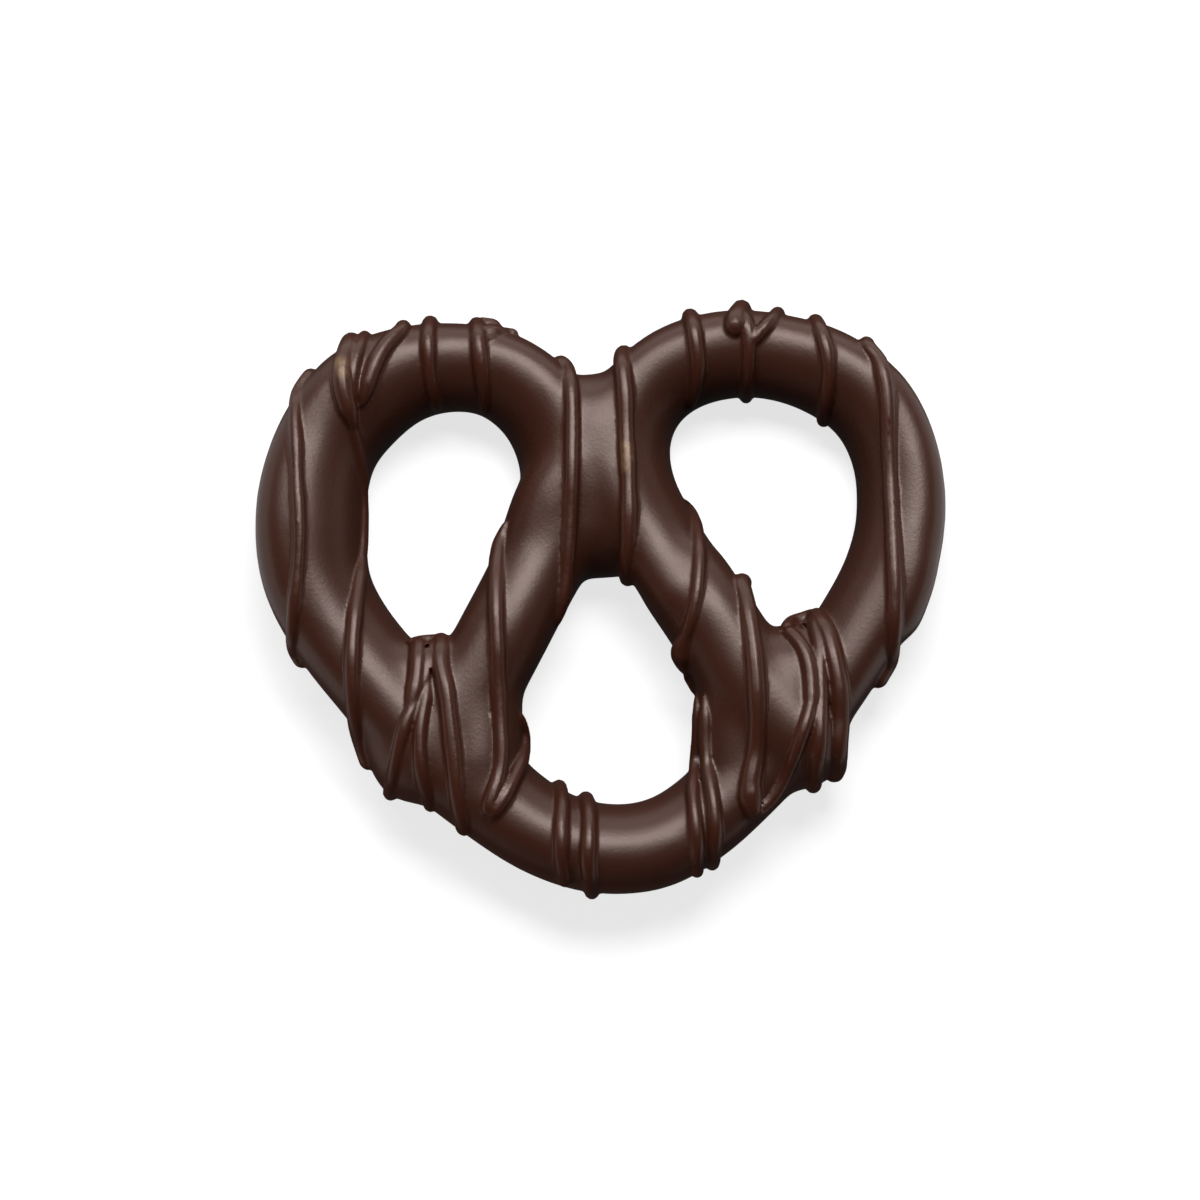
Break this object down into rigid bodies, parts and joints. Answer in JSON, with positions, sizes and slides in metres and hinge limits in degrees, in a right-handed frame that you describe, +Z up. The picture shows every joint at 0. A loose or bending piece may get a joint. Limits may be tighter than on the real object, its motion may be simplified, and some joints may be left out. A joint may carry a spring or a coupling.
{
  "type": "chocolate-coated pretzel",
  "caption": "Twisted pretzel with rounded lobes in a dark chocolate coat, with thin strands of chocolate drizzled across it.",
  "frame": {"origin": "middle of the pretzel's outline, on the surface that it lies on", "axes": "+X to the right and +Y towards the two lobes as the pretzel is seen from above, +Z up"},
  "size_m": [0.0756, 0.0674, 0.0116],
  "materials": {
    "dark_chocolate": "satin, with slightly glossier drizzle"
  },
  "bodies": {
    "root": {"coated_pretzel": "dark_chocolate"}
  },
  "joints": []
}
